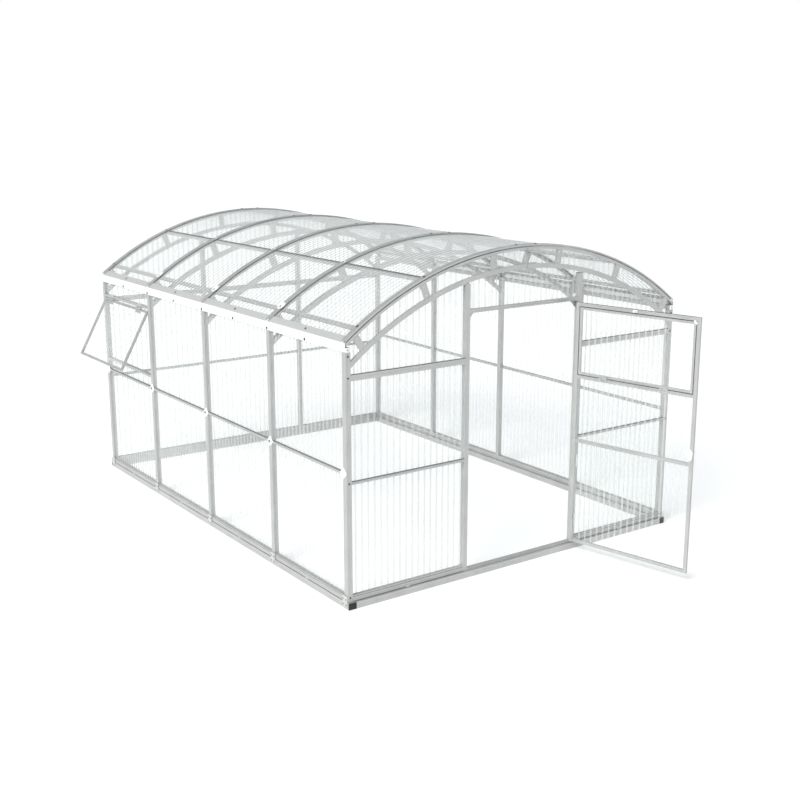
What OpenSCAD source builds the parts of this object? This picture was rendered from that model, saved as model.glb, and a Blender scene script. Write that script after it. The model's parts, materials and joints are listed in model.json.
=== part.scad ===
// Walk-in arched greenhouse: aluminium frame, twin-wall sheet, hinged door with a
// tilting window, and a top-hung side vent.
// +X to the right of someone facing the door from outside, -Y towards the door, +Z up.
// Origin on the ground under the middle of the doorway, in the plane of the front wall.

/* [Overall] */
// Length over the base rails, front to rear
length = 4000; // [3200:10:5000]
// Width over the base rails
width = 2950; // [2450:10:3550]
// Distance between neighbouring inner frames
bay_pitch = 1000; // [780:5:1180]
// Height of the top of the eave beams
eave_h = 1728; // [1700:5:2100]
// Rise of the roof caps above the eave beams, at the ridge
roof_rise = 548; // [450:5:700]

/* [Base] */
// Width of a base rail
base_w = 60; // [44:1:80]
// Height of a base rail
base_h = 45; // [30:1:70]
// Thickness of the black rail end caps
cap_t = 6; // [3:1:12]
// Height of the sill rails on the base
sill_h = 40; // [20:1:60]
// Step between the base face and the side walls
side_set = 4; // [2:1:8]
// Step between the base end and the gable walls
gable_set = 20; // [10:1:40]

/* [Frame profiles] */
// Post width along the wall
post_w = 40; // [30:1:60]
// Depth of the wall frame
wall_d = 36; // [32:1:56]
// Wall thickness of the aluminium profiles
profile_t = 2.5; // [1.8:0.1:4]
// Depth of the wall rails that sit in front of the sheets
rail_d = 16; // [10:1:20]
// Height of the narrow wall rails
rail_h = 22; // [14:1:36]
// Height of the upper gable rails
upper_rail_h = 42; // [24:1:60]
// Height of the door header
header_h = 24; // [16:1:40]
// Height of the eave beam
beam_h = 30; // [20:1:50]

/* [Wall levels] */
// Centre of the side mid rails
side_rail_z = 915; // [700:5:1000]
// Centre of the gable mid rails
gable_rail_z = 849; // [600:5:1000]
// Centre of the upper gable rails
upper_rail_z = 1534; // [1200:5:1600]
// Underside of the door header
header_z = 1852; // [1780:2:1900]

/* [Roof] */
// Radial depth of the outer arch chord
outer_chord = 18; // [12:1:28]
// Radial depth of the inner arch chord
inner_chord = 33; // [20:1:45]
// Radial gap between the chords
chord_gap = 96; // [60:1:130]
// Thickness of an inner frame along the greenhouse
arch_t = 30; // [20:1:40]
// Thickness of the gable inner chord and its struts
gable_chord_t = 16; // [10:1:20]
// Struts in each arch
strut_n = 6; // [4:2:8]
// Step between neighbouring struts, as a share of the arc from ridge to eave
strut_share = 0.3835; // [0.26:0.0005:0.4]
// Width of a strut plate
strut_w = 48; // [30:1:70]
// Width of a purlin
purlin_w = 30; // [20:1:44]
// Place of the upper purlins, as a share of the arc from ridge to eave
upper_purlin_share = 0.554; // [0.48:0.002:0.68]
// Place of the lower purlins, as a share of the arc from ridge to eave
lower_purlin_share = 0.9215; // [0.8:0.0005:0.93]
// Radial height of a cap strip
cap_h = 11; // [6:1:16]
// Width of a cap strip
cap_w = 44; // [34:1:56]
// Length of the eave flap up the roof
flap_l = 56; // [40:1:90]
// Height of the eave fascia
fascia_h = 58; // [40:1:90]

/* [Sheets] */
// Thickness of the twin-wall sheets
sheet_t = 6; // [4:1:10]
// Clearance round a sheet
sheet_gap = 0.5; // [0.3:0.1:2]

/* [Door] */
// Clear width between the door posts
doorway_w = 974; // [800:2:1150]
// Opening angle at rest
door_open = 102; // [0:1:150]
// Thickness of the door frame
door_t = 20; // [14:1:26]
// Width of the door frame members
door_member = 24; // [18:1:36]
// Underside of the door
door_z0 = 68; // [64:1:100]
// Top of the door
door_z1 = 1842; // [1740:2:1846]
// Clearance between the door and its posts
door_gap = 4; // [3:0.5:8]
// Underside of the rail below the door window
window_rail_z = 1300; // [1150:5:1400]
// Underside of the door mid rail
door_rail_z = 828; // [600:5:1000]
// Height of the latch spindle
latch_z = 925; // [880:1:1100]
// Gap round the door window
window_gap = 6; // [4:0.5:10]
// Width of the window frame members
window_member = 17; // [12:1:26]

/* [Side vent] */
// Opening angle at rest
vent_open = 28.6; // [0:0.1:45]
// Underside of the rail below the vent
vent_sill_z = 1003; // [950:1:1100]
// Underside of the rail above the vent
vent_head_z = 1572; // [1500:1:1600]
// Height of the rails round the vent
vent_rail_h = 20; // [14:1:30]
// Gap round the vent sash
vent_gap = 4; // [3:0.5:8]
// Thickness of the vent sash
vent_t = 18; // [12:1:24]
// Width of the vent sash members
vent_member = 22; // [16:1:34]

/* [Hinges and fittings] */
// Radius of a hinge pin
pin_r = 3; // [2:0.5:4]
// Radius of a hinge knuckle
knuckle_r = 8; // [6:0.5:10]
// Length of one hinge
hinge_l = 90; // [60:2:140]
// Running clearance of a hinge pin
pin_clear = 0.2; // [0.1:0.05:0.4]
// Gap between neighbouring knuckles
knuckle_gap = 0.6; // [0.4:0.1:1.5]
// Radius of the door latch spindle
spindle_r = 4; // [3:0.5:5]
// Clearance of the latch spindle in the door stile
spindle_clear = 0.3; // [0.2:0.1:1]
// Radius of the white rosettes
rosette_r = 36; // [24:1:50]
// Thickness of the white rosettes
rosette_t = 5; // [3:1:9]
// Height of the boss on a rosette
boss_h = 3; // [2:0.5:6]
// Radius of a screw head
screw_r = 6; // [4:0.5:8]
// Height of a screw head
screw_h = 3; // [2:0.5:5]

/* [Hidden] */

$fn = 48;
ARC_FN = 360;
SEAT = 0.3;
JOINT = 0.2;

// Wall planes
side_out = width / 2 - side_set;
side_in = side_out - wall_d;
gable_out = length / 2 - gable_set;
gable_in = gable_out - wall_d;
corner_w = max(post_w, wall_d);
corner_in = side_out - corner_w;
sill_top = base_h + sill_h;
beam_z = eave_h - beam_h;

// Frame stations along the greenhouse, front to rear
end_y = gable_out - wall_d / 2;
FRAMES_Y = [-end_y, -bay_pitch, 0, bay_pitch, end_y];
LAST = len(FRAMES_Y) - 1;

// Roof arc: through the eave at the side walls and the ridge
cap_chord = width / 2 - 10;
ridge_z = eave_h + roof_rise;
cap_drop = roof_rise - 50;
roof_r = (cap_chord * cap_chord + cap_drop * cap_drop) / (2 * cap_drop);
roof_zc = ridge_z - roof_r;
cap_in_r = roof_r - cap_h;
sheet_out_r = cap_in_r - SEAT;
sheet_in_r = sheet_out_r - sheet_t;
outer_r = sheet_in_r - SEAT;
outer_in_r = outer_r - outer_chord;
inner_r = outer_in_r - chord_gap;
inner_in_r = inner_r - inner_chord;
fascia_t = side_set;
roof_half = side_out - 5;
ridge_gap = 3;
eave_a = asin(cap_chord / roof_r);
strut_step = strut_share * eave_a;
upper_purlin_a = upper_purlin_share * eave_a;
lower_purlin_a = lower_purlin_share * eave_a;

// Doorway, door and window, with the door shut
door_x1 = doorway_w / 2 - door_gap;
door_w = 2 * door_x1;
door_y0 = -gable_out;
door_y1 = door_y0 + door_t;
hinge_off = knuckle_r + 1;
hinge_x = doorway_w / 2 - door_gap / 2;
hinge_y = -gable_out - hinge_off;
door_post_out = doorway_w / 2 + wall_d;
window_x1 = door_x1 - door_member - window_gap;
window_z0 = window_rail_z + door_member + window_gap;
window_z1 = door_z1 - door_member - window_gap;
window_t = 16;
window_y1 = door_y1;
window_y0 = window_y1 - window_t;
window_pin_r = 2.5;
window_knuckle_r = 5;
window_hinge_y = door_y1 + window_knuckle_r + 1;
window_hinge_z = window_z0 - window_gap / 2;
latch_x = -door_x1 + door_member / 2;
latch_y = door_y1 + SEAT;
latch_arm = 50;
latch_r = 12;

// Side vent, shut; its bay is the rearmost one of the left wall
vent_y0 = FRAMES_Y[LAST - 1] + post_w / 2 + vent_gap;
vent_y1 = gable_out - corner_w - vent_gap;
vent_z0 = vent_sill_z + vent_rail_h + vent_gap;
vent_z1 = vent_head_z - vent_gap;
vent_axis_x = -side_out - hinge_off;
vent_axis_z = vent_z1 - vent_gap / 2;

// Hinge places
DOOR_HINGES_Z = [door_z0 + 170, (door_z0 + window_rail_z) / 2, door_z1 - 150];
VENT_HINGES_Y = [vent_y0 + 160, vent_y1 - 160];
WINDOW_HINGES_X = [-door_w / 4, door_w / 4];

ALU = [0.78, 0.79, 0.77];
WHITE = [0.93, 0.94, 0.93];
CLEAR = [0.86, 0.92, 0.9, 0.35];
DARK = [0.12, 0.12, 0.12];

// ---- shared shapes ----

// Hollow profile section with a shallow groove along each face
module profile2d(a, b) {
    groove_d = 1;
    groove_w = min(a, b) / 4;
    difference() {
        square([a, b]);
        translate([profile_t, profile_t]) square([a - 2 * profile_t, b - 2 * profile_t]);
        translate([a / 2 - groove_w / 2, -1]) square([groove_w, 1 + groove_d]);
        translate([a / 2 - groove_w / 2, b - groove_d]) square([groove_w, 1 + groove_d]);
        translate([-1, b / 2 - groove_w / 2]) square([1 + groove_d, groove_w]);
        translate([a - groove_d, b / 2 - groove_w / 2]) square([1 + groove_d, groove_w]);
    }
}

// Upright profile filling the box from p0 to p1
module bar_z(p0, p1) {
    translate(p0) linear_extrude(p1[2] - p0[2]) profile2d(p1[0] - p0[0], p1[1] - p0[1]);
}

// Profile along X filling the box from p0 to p1
module bar_x(p0, p1) {
    translate(p0) rotate([90, 0, 90]) linear_extrude(p1[0] - p0[0])
        profile2d(p1[1] - p0[1], p1[2] - p0[2]);
}

// Profile along Y filling the box from p0 to p1
module bar_y(p0, p1) {
    translate([p0[0], p1[1], p0[2]]) rotate([90, 0, 0]) linear_extrude(p1[1] - p0[1])
        profile2d(p1[0] - p0[0], p1[2] - p0[2]);
}

// Plain box from p0 to p1
module block(p0, p1) {
    translate(p0) cube(p1 - p0);
}

// A cross-section in the XZ plane, extruded from y0 to y1
module along_y(y0, y1) {
    translate([0, y1, 0]) rotate([90, 0, 0]) linear_extrude(y1 - y0) children();
}

// Ring between two radii round the roof axis, between two X limits
module roof_ring(r0, r1, x0, x1) {
    intersection() {
        translate([0, roof_zc]) difference() {
            circle(r1, $fn = ARC_FN);
            circle(r0, $fn = ARC_FN);
        }
        translate([x0, 0]) square([x1 - x0, 2 * ridge_z]);
    }
}

// Both mirrored copies about the YZ plane
module both_sides() {
    children();
    mirror([1, 0, 0]) children();
}

// Moves children, made at the ridge with +Z outwards, round the roof to an angle
module on_roof(angle) {
    translate([0, 0, roof_zc]) rotate([0, angle, 0]) children();
}

function is_gable(i) = i == 0 || i == LAST;
function frame_y0(i, t) = i == 0 ? -gable_out : i == LAST ? gable_out - t : FRAMES_Y[i] - t / 2;
function inner_t(i) = is_gable(i) ? gable_chord_t : arch_t;
function outer_t(i) = is_gable(i) ? wall_d : arch_t;

// ---- base ----

module side_base_rail() {
    bar_y([width / 2 - base_w, -length / 2 + cap_t, 0], [width / 2, length / 2 - cap_t, base_h]);
}

module base_rail_right() {
    color(ALU) side_base_rail();
}

module base_rail_left() {
    color(ALU) mirror([1, 0, 0]) side_base_rail();
}

module end_base_rail() {
    rail_x = width / 2 - base_w;
    bar_x([-rail_x, -length / 2, 0], [rail_x, -length / 2 + base_w, base_h]);
}

module base_rail_front() {
    color(ALU) end_base_rail();
}

module base_rail_rear() {
    color(ALU) mirror([0, 1, 0]) end_base_rail();
}

module base_end_caps() {
    color(DARK) both_sides() for (s = [0, 1]) mirror([0, s, 0])
        block([width / 2 - base_w, -length / 2, 0], [width / 2, -length / 2 + cap_t, base_h]);
}

// Sill rails between the side posts
module side_sills() {
    color(ALU) both_sides() for (i = [0:LAST - 1])
        bar_y([side_in, bay_y0(i), base_h], [side_out, bay_y1(i), sill_top]);
}

function bay_y0(i) = i == 0 ? -gable_out + corner_w : FRAMES_Y[i] + post_w / 2;
function bay_y1(i) = i == LAST - 1 ? gable_out - corner_w : FRAMES_Y[i + 1] - post_w / 2;

// Sill rails in the gables, left out of the doorway
module gable_sills() {
    color(ALU) {
        for (s = [0, 1]) mirror([0, s, 0]) both_sides()
            bar_x([door_post_out, -gable_out, base_h], [corner_in, -gable_in, sill_top]);
        bar_x([-doorway_w / 2, gable_in, base_h], [doorway_w / 2, gable_out, sill_top]);
    }
}

module threshold() {
    strip_h = 14;
    color(ALU) block([-doorway_w / 2, -gable_out + 2, base_h],
                     [doorway_w / 2, -gable_in - 2, base_h + strip_h]);
}

// ---- posts ----

module corner_posts() {
    color(ALU) both_sides() for (s = [0, 1]) mirror([0, s, 0])
        bar_z([corner_in, -gable_out, base_h], [side_out, -gable_out + corner_w, beam_z]);
}

module side_posts() {
    for (i = [1:LAST - 1])
        bar_z([side_in, FRAMES_Y[i] - post_w / 2, base_h],
              [side_out, FRAMES_Y[i] + post_w / 2, beam_z]);
}

module side_posts_right() {
    color(ALU) side_posts();
}

module side_posts_left() {
    color(ALU) mirror([1, 0, 0]) side_posts();
}

// Top of an intermediate gable post, under the inner chord
gable_post_top = roof_zc + sqrt(pow(inner_in_r, 2) - pow(door_post_out, 2)) - 2;

module door_post() {
    bar_z([doorway_w / 2, -gable_out, base_h], [door_post_out, -gable_in, gable_post_top]);
}

module door_post_right() {
    color(ALU) door_post();
}

module door_post_left() {
    color(ALU) mirror([1, 0, 0]) door_post();
}

module rear_posts() {
    color(ALU) mirror([0, 1, 0]) both_sides() door_post();
}

// ---- eaves ----

module eave_beams() {
    color(ALU) both_sides() bar_y([side_in, -gable_out, beam_z], [side_out, gable_out, eave_h]);
}

// Folded trim: an upright fascia, and a flap on each sheet between the cap strips
module eave_trim() {
    flap_t = 3;
    flap_x0 = width / 2 - flap_l * cos(asin(width / 2 / roof_r));
    fold_z = roof_zc + sqrt(pow(cap_in_r, 2) - pow(side_out, 2));
    union() {
        block([side_out, -gable_out, fold_z - fascia_h], [side_out + fascia_t, gable_out, fold_z]);
        for (i = [0:LAST - 1])
            along_y(cap_y1(i) + 1, cap_y0(i + 1) - 1)
                roof_ring(cap_in_r, cap_in_r + flap_t, flap_x0, side_out + fascia_t);
    }
}

function cap_y0(i) = frame_y0(i, cap_w);
function cap_y1(i) = cap_y0(i) + cap_w;

module eave_trim_right() {
    color(WHITE) eave_trim();
}

module eave_trim_left() {
    color(WHITE) mirror([1, 0, 0]) eave_trim();
}

// ---- arches ----

// Outer chord in two halves that meet at the ridge
module outer_arch(i) {
    t = outer_t(i);
    y0 = frame_y0(i, t);
    color(ALU) both_sides() along_y(y0, y0 + t) difference() {
        roof_ring(outer_in_r, outer_r, ridge_gap / 2, roof_half);
        translate([side_in - 1, 0]) square([wall_d + 2, eave_h + SEAT]);
    }
}

// Inner chord in two halves, each ending on a side post
module inner_arch(i) {
    t = inner_t(i);
    y0 = frame_y0(i, t);
    end_x = is_gable(i) ? corner_in : side_in;
    color(ALU) both_sides() along_y(y0, y0 + t)
        roof_ring(inner_in_r, inner_r, ridge_gap / 2, end_x);
}

module arch_1_outer() { outer_arch(0); }
module arch_2_outer() { outer_arch(1); }
module arch_3_outer() { outer_arch(2); }
module arch_4_outer() { outer_arch(3); }
module arch_5_outer() { outer_arch(4); }
module arch_1_inner() { inner_arch(0); }
module arch_2_inner() { inner_arch(1); }
module arch_3_inner() { inner_arch(2); }
module arch_4_inner() { inner_arch(3); }
module arch_5_inner() { inner_arch(4); }

// Radial plates between the chords
module arch_struts() {
    trim = 4;
    color(ALU) for (i = [0:LAST]) {
        t = inner_t(i) - trim;
        y0 = frame_y0(i, inner_t(i)) + trim / 2;
        for (k = [0:strut_n - 1])
            on_roof((k - (strut_n - 1) / 2) * strut_step)
                block([-strut_w / 2, y0, inner_r + SEAT],
                      [strut_w / 2, y0 + t, sqrt(pow(outer_in_r, 2) - pow(strut_w / 2, 2)) - SEAT]);
    }
}

// Plates that join the halves of the inner chords at the ridge
module ridge_splices() {
    splice_l = 170;
    splice_t = 4;
    color(ALU) for (i = [0:LAST]) {
        y0 = frame_y0(i, inner_t(i));
        block([-splice_l / 2, y0, roof_zc + inner_r + SEAT],
              [splice_l / 2, y0 + inner_t(i), roof_zc + inner_r + SEAT + splice_t]);
    }
}

// ---- purlins ----

// One purlin line at an angle from the ridge, butting against the outer chords
module purlin_line(angle) {
    top_r = sqrt(pow(outer_r, 2) - pow(purlin_w / 2, 2)) - SEAT;
    for (i = [0:LAST - 1])
        on_roof(angle)
            bar_y([-purlin_w / 2, frame_y0(i, outer_t(i)) + outer_t(i), top_r - outer_chord],
                  [purlin_w / 2, frame_y0(i + 1, outer_t(i + 1)), top_r]);
}

module purlin_ridge() {
    color(ALU) purlin_line(0);
}

module purlins_upper() {
    color(ALU) for (s = [-1, 1]) purlin_line(s * upper_purlin_a);
}

module purlins_lower() {
    color(ALU) for (s = [-1, 1]) purlin_line(s * lower_purlin_a);
}

// Plates under the inner frames that tie the purlins to the chords
module purlin_brackets() {
    plate = 64;
    plate_t = 3;
    top_r = sqrt(pow(outer_in_r, 2) - pow(plate / 2, 2)) - SEAT - 0.6;
    color(WHITE) for (i = [1:LAST - 1])
        for (a = [-upper_purlin_a, 0, upper_purlin_a])
            if (clear_of_struts(a, plate))
                on_roof(a) block([-plate / 2, FRAMES_Y[i] - plate / 2, top_r - plate_t],
                                 [plate / 2, FRAMES_Y[i] + plate / 2, top_r]);
}

// True when a plate of this width at this angle misses every strut
function clear_of_struts(a, plate) =
    min([for (k = [0:strut_n - 1]) abs(a - (k - (strut_n - 1) / 2) * strut_step)])
        > ((plate + strut_w) / 2) / outer_in_r * 180 / PI;

// ---- roof skin ----

// Hat-shaped strips that clamp the sheet edges over each frame
module roof_caps() {
    leg = 3;
    top = 3;
    color(ALU) for (i = [0:LAST]) {
        y0 = cap_y0(i);
        along_y(y0, y0 + cap_w) roof_ring(roof_r - top, roof_r, -roof_half, roof_half);
        for (y = [y0, y0 + cap_w - leg])
            along_y(y, y + leg) roof_ring(cap_in_r, roof_r - top, -roof_half, roof_half);
    }
}

module roof_sheet(i) {
    y0 = i == 0 ? -gable_out : FRAMES_Y[i] + sheet_gap;
    y1 = i == LAST - 1 ? gable_out : FRAMES_Y[i + 1] - sheet_gap;
    color(CLEAR) along_y(y0, y1) roof_ring(sheet_in_r, sheet_out_r, -roof_half, roof_half);
}

module roof_sheet_1() { roof_sheet(0); }
module roof_sheet_2() { roof_sheet(1); }
module roof_sheet_3() { roof_sheet(2); }
module roof_sheet_4() { roof_sheet(3); }

// ---- wall rails ----

module side_mid_rails() {
    color(ALU) both_sides() for (i = [0:LAST - 1])
        bar_y([side_out - rail_d, bay_y0(i), side_rail_z - rail_h / 2],
              [side_out, bay_y1(i), side_rail_z + rail_h / 2]);
}

// One gable rail of height h, centred on z
module gable_rail(x0, x1, z, h) {
    bar_x([x0, -gable_out, z - h / 2], [x1, -gable_out + rail_d, z + h / 2]);
}

module gable_rails() {
    color(ALU) {
        for (s = [0, 1]) mirror([0, s, 0]) both_sides() {
            gable_rail(door_post_out, corner_in, gable_rail_z, rail_h);
            gable_rail(door_post_out, corner_in, upper_rail_z, upper_rail_h);
        }
        mirror([0, 1, 0]) {
            gable_rail(-doorway_w / 2, doorway_w / 2, gable_rail_z, rail_h);
            gable_rail(-doorway_w / 2, doorway_w / 2, upper_rail_z, upper_rail_h);
        }
    }
}

module door_header() {
    color(ALU) bar_x([-doorway_w / 2, -gable_out, header_z],
                     [doorway_w / 2, -gable_in, header_z + header_h]);
}

// Corner plates under the door header, behind the door
module header_gussets() {
    leg = 56;
    t = 4;
    y0 = -gable_in - 2 * t;
    color(ALU) both_sides() along_y(y0, y0 + t) translate([doorway_w / 2, header_z])
        polygon([[0, 0], [-leg, 0], [0, -leg]]);
}

// Rails above and below the side vent
module vent_surround() {
    color(ALU) for (z = [vent_sill_z, vent_head_z])
        bar_y([-side_out, bay_y0(LAST - 1), z], [-side_in, bay_y1(LAST - 1), z + vent_rail_h]);
}

// ---- wall sheets ----

sheet_set = rail_d + SEAT;

// Side sheet in bay i of the right wall, between two heights
module side_sheet(i, z0, z1) {
    block([side_out - sheet_set - sheet_t, bay_y0(i) + sheet_gap, z0 + sheet_gap],
          [side_out - sheet_set, bay_y1(i) - sheet_gap, z1 - sheet_gap]);
}

module side_sheets() {
    color(CLEAR) {
        for (i = [0:LAST - 1]) side_sheet(i, sill_top, beam_z);
        mirror([1, 0, 0]) {
            for (i = [0:LAST - 2]) side_sheet(i, sill_top, beam_z);
            side_sheet(LAST - 1, sill_top, vent_sill_z);
            side_sheet(LAST - 1, vent_head_z + vent_rail_h, beam_z);
        }
    }
}

// Gable sheets: one beside each intermediate post and one between the posts
module gable_sheet_set(centre_z0) {
    y0 = -gable_out + sheet_set;
    post_x = (doorway_w / 2 + door_post_out) / 2;
    along_y(y0, y0 + sheet_t) both_sides() intersection() {
        roof_arc_area();
        union() {
            translate([door_post_out + sheet_gap, sill_top + sheet_gap])
                square([corner_in - door_post_out - 2 * sheet_gap, ridge_z]);
            translate([post_x + sheet_gap, gable_post_top + 1])
                square([corner_in - post_x - 2 * sheet_gap, ridge_z]);
        }
    }
    along_y(y0, y0 + sheet_t) intersection() {
        roof_arc_area();
        union() {
            translate([-doorway_w / 2 + sheet_gap, centre_z0 + sheet_gap])
                square([doorway_w - 2 * sheet_gap, ridge_z]);
            translate([-post_x + sheet_gap, gable_post_top + 1])
                square([2 * post_x - 2 * sheet_gap, ridge_z]);
        }
    }
}

// Area under the outer chords
module roof_arc_area() {
    translate([0, roof_zc]) circle(outer_in_r - sheet_gap, $fn = ARC_FN);
}

module gable_sheets() {
    color(CLEAR) {
        gable_sheet_set(header_z + header_h);
        mirror([0, 1, 0]) gable_sheet_set(sill_top);
    }
}

// ---- small frame fittings ----

// Rosette plates where the side mid rails cross the posts
module rosettes() {
    boss_r = rosette_r / 3;
    color(WHITE) both_sides() for (i = [1:LAST - 1])
        translate([side_out, FRAMES_Y[i], side_rail_z]) rotate([0, 90, 0]) difference() {
            union() {
                cylinder(r = rosette_r, h = rosette_t);
                cylinder(r = boss_r, h = rosette_t + boss_h);
            }
            for (a = [45:90:315])
                rotate(a) translate([rosette_r + 4, 0, -1]) cylinder(r = rosette_r / 3, h = rosette_t + 2);
        }
}

// Stepped plates that tie each side post to the base rail
module foot_brackets() {
    plate_w = post_w + 16;
    plate_t = 4;
    up = 44;
    down = 30;
    color(WHITE) both_sides() for (i = [0:LAST]) {
        y0 = i == 0 ? -gable_out : i == LAST ? gable_out - plate_w : FRAMES_Y[i] - plate_w / 2;
        union() {
            block([side_out, y0, base_h], [width / 2 + plate_t, y0 + plate_w, base_h + up]);
            block([width / 2, y0, base_h - down], [width / 2 + plate_t, y0 + plate_w, base_h + 1]);
        }
    }
}

// Clips that hold the sill rails down at mid bay
module sheet_clips() {
    clip_l = 26;
    clip_h = 12;
    clip_d = 8;
    color(WHITE) {
        for (s = [0, 1]) mirror([0, s, 0]) both_sides()
            translate([(door_post_out + corner_in) / 2, -gable_out - clip_d, base_h])
                cube([clip_l, clip_d, clip_h]);
        both_sides() for (i = [0:LAST - 1])
            translate([side_out, (bay_y0(i) + bay_y1(i)) / 2, base_h]) cube([side_set, clip_l, clip_h]);
    }
}

// Screw head standing up from the origin, with a slot
module screw_head() {
    difference() {
        cylinder(r = screw_r, h = screw_h);
        translate([-screw_r, -0.8, screw_h - 1]) cube([2 * screw_r, 1.6, 2]);
    }
}

// Screws in the eave fascia, the roof caps, the rosettes and the corner posts
module frame_screws() {
    pitch = bay_pitch / 2;
    fascia_mid = beam_z + beam_h / 2;
    color(DARK) {
        both_sides() for (k = [-3:3])
            translate([side_out + fascia_t, k * pitch, fascia_mid]) rotate([0, 90, 0]) screw_head();
        both_sides() for (i = [1:LAST - 1])
            translate([side_out + rosette_t + boss_h, FRAMES_Y[i], side_rail_z])
                rotate([0, 90, 0]) screw_head();
        for (i = [0:LAST])
            for (a = [-lower_purlin_a, -upper_purlin_a, -2, 2, upper_purlin_a, lower_purlin_a])
                on_roof(a) translate([0, cap_y0(i) + cap_w / 2, roof_r + 0.1]) screw_head();
        for (s = [0, 1]) mirror([0, s, 0]) both_sides()
            for (z = [base_h + 30, gable_rail_z, upper_rail_z, beam_z - 26])
                translate([(corner_in + side_out) / 2, -gable_out, z]) rotate([90, 0, 0]) screw_head();
    }
}

// ---- hinges ----
// Hinge along +Z centred on the origin: the fixed side lies towards +X, the moving side
// towards -X, and both leaves lie on the plane y = hinge_off - leaf_t .. hinge_off.

leaf_t = 3;
leaf_w = 30;

function knuckle_z(k) = -hinge_l / 2 + k * hinge_l / 3;

// Knuckle k of three, reaching out to its leaf on side s (+1 fixed, -1 moving)
module knuckle(k, s, bore) {
    z0 = knuckle_z(k) + (k > 0 ? knuckle_gap : 0);
    z1 = knuckle_z(k + 1) - (k < 2 ? knuckle_gap : 0);
    translate([0, 0, z0]) difference() {
        union() {
            cylinder(r = knuckle_r, h = z1 - z0);
            translate([s > 0 ? 0 : -knuckle_r - 2, hinge_off - leaf_t, 0])
                cube([knuckle_r + 2, leaf_t, z1 - z0]);
        }
        translate([0, 0, -1]) cylinder(r = bore, h = z1 - z0 + 2);
        translate([-knuckle_r, hinge_off, -1]) cube([2 * knuckle_r, knuckle_r, z1 - z0 + 2]);
    }
}

module leaf(s) {
    x0 = s > 0 ? knuckle_r + 1 : -knuckle_r - 1 - leaf_w;
    translate([x0, hinge_off - leaf_t, -hinge_l / 2]) cube([leaf_w, leaf_t, hinge_l]);
}

module hinge_fixed() {
    union() {
        leaf(1);
        for (k = [0, 2]) knuckle(k, 1, pin_r - 0.5);
        translate([0, 0, -hinge_l / 2 - 1]) cylinder(r = pin_r, h = hinge_l + 2);
    }
}

module hinge_moving() {
    union() {
        leaf(-1);
        knuckle(1, -1, pin_r + pin_clear);
    }
}

// Places a hinge on the door axis, at height z
module at_door_hinge(z) {
    translate([hinge_x, hinge_y, z]) children();
}

// Places a hinge on the vent axis, at y
module at_vent_hinge(y) {
    translate([vent_axis_x, y, vent_axis_z]) rotate([-90, 0, 0]) rotate([0, 0, -90]) children();
}

module fixed_hinges() {
    color(ALU) {
        for (z = DOOR_HINGES_Z) at_door_hinge(z) hinge_fixed();
        for (y = VENT_HINGES_Y) at_vent_hinge(y) hinge_fixed();
    }
}

// ---- door ----

// Turns the shut door to its rest angle
module swing_door() {
    translate([hinge_x, hinge_y, 0]) rotate([0, 0, door_open])
        translate([-hinge_x, -hinge_y, 0]) children();
}

corner_cap_t = 3;

// Two stiles; the free one is drilled for the latch spindle
module door_stiles() {
    color(ALU) swing_door() difference() {
        both_sides() bar_z([door_x1 - door_member, door_y0, door_z0 + corner_cap_t],
                           [door_x1, door_y1, door_z1 - corner_cap_t]);
        translate([latch_x, door_y0 - 1, latch_z]) rotate([-90, 0, 0])
            cylinder(r = spindle_r + spindle_clear, h = door_t + 2);
    }
}

module door_rails() {
    x1 = door_x1 - door_member;
    color(ALU) swing_door() for (z = [door_z0, door_rail_z, window_rail_z, door_z1 - door_member])
        bar_x([-x1, door_y0, z], [x1, door_y1, z + door_member]);
}

// Fixed sheets below the door window
module door_sheets() {
    x1 = door_x1 - door_member - sheet_gap;
    y0 = door_y0 + (door_t - sheet_t) / 2;
    color(CLEAR) swing_door() for (z = [[door_z0, door_rail_z], [door_rail_z, window_rail_z]])
        block([-x1, y0, z[0] + door_member + sheet_gap], [x1, y0 + sheet_t, z[1] - sheet_gap]);
}

// Corner caps and hinge leaves of the door, and the pins of its window
module door_fittings() {
    pin_l = 60;
    color(WHITE) swing_door() {
        both_sides() for (z = [door_z0, door_z1 - corner_cap_t])
            block([door_x1 - door_member, door_y0, z], [door_x1, door_y1, z + corner_cap_t]);
        for (z = DOOR_HINGES_Z) at_door_hinge(z) hinge_moving();
        for (x = WINDOW_HINGES_X) translate([x, window_hinge_y, window_hinge_z]) window_hinge_fixed(pin_l);
    }
}

// Pin along X held by two ears that stand on the window rail
module window_hinge_fixed(pin_l) {
    ear_t = 6;
    rail_top = window_rail_z + door_member - window_hinge_z;
    union() {
        translate([-pin_l / 2, 0, 0]) rotate([0, 90, 0]) cylinder(r = window_pin_r, h = pin_l);
        for (x = [-pin_l / 2, pin_l / 2 - ear_t]) translate([x, 0, 0]) {
            rotate([0, 90, 0]) cylinder(r = window_knuckle_r, h = ear_t);
            translate([0, -window_knuckle_r - 1, rail_top - 14]) cube([ear_t, 3, 14]);
            translate([0, -window_knuckle_r, rail_top - 14]) cube([ear_t, window_knuckle_r, 10]);
        }
    }
}

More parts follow.
